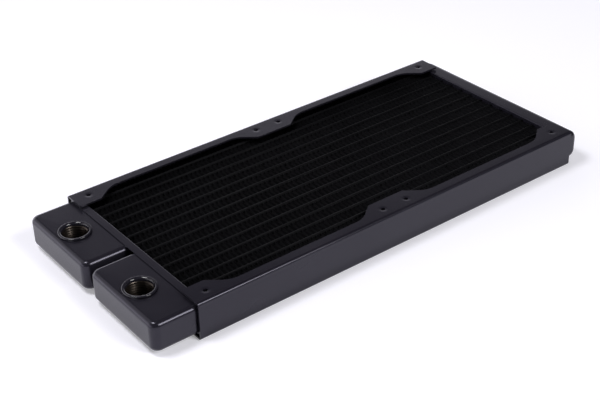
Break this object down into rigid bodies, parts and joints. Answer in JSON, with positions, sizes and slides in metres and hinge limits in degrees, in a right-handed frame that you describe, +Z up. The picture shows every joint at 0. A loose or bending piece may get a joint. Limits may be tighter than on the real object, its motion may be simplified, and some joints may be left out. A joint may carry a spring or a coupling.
{
  "type": "liquid cooling radiator",
  "caption": "Slim flat radiator: a finned tube core between side panels with fan screw tabs, threaded ports in separate chambers at one end, and a return chamber at the other.",
  "frame": {"origin": "middle of the part's box, on the plane that its lower flanges rest on", "axes": "+X along the tubes from the ports towards the return chamber, +Y across them towards the outlet's side, +Z up, the way the ports open"},
  "size_m": [0.2722, 0.1186, 0.0205],
  "materials": {
    "black_paint": "satin",
    "core_black": "satin",
    "bush_brass": "machined"
  },
  "bodies": {
    "root": {"side_panel_left": "black_paint", "side_panel_right": "black_paint", "port_chamber_inlet": "black_paint", "port_chamber_outlet": "black_paint", "return_chamber": "black_paint", "header_plate_port": "black_paint", "header_plate_return": "black_paint", "port_bush_inlet": "bush_brass", "port_bush_outlet": "bush_brass", "flat_tube_01": "core_black", "flat_tube_02": "core_black", "flat_tube_03": "core_black", "flat_tube_04": "core_black", "flat_tube_05": "core_black", "flat_tube_06": "core_black", "flat_tube_07": "core_black", "flat_tube_08": "core_black", "flat_tube_09": "core_black", "flat_tube_10": "core_black", "flat_tube_11": "core_black", "flat_tube_12": "core_black", "flat_tube_13": "core_black", "flat_tube_14": "core_black", "fin_strip_01": "core_black", "fin_strip_02": "core_black", "fin_strip_03": "core_black", "fin_strip_04": "core_black", "fin_strip_05": "core_black", "fin_strip_06": "core_black", "fin_strip_07": "core_black", "fin_strip_08": "core_black", "fin_strip_09": "core_black", "fin_strip_10": "core_black", "fin_strip_11": "core_black", "fin_strip_12": "core_black", "fin_strip_13": "core_black", "fin_strip_14": "core_black", "fin_strip_15": "core_black"}
  },
  "joints": []
}
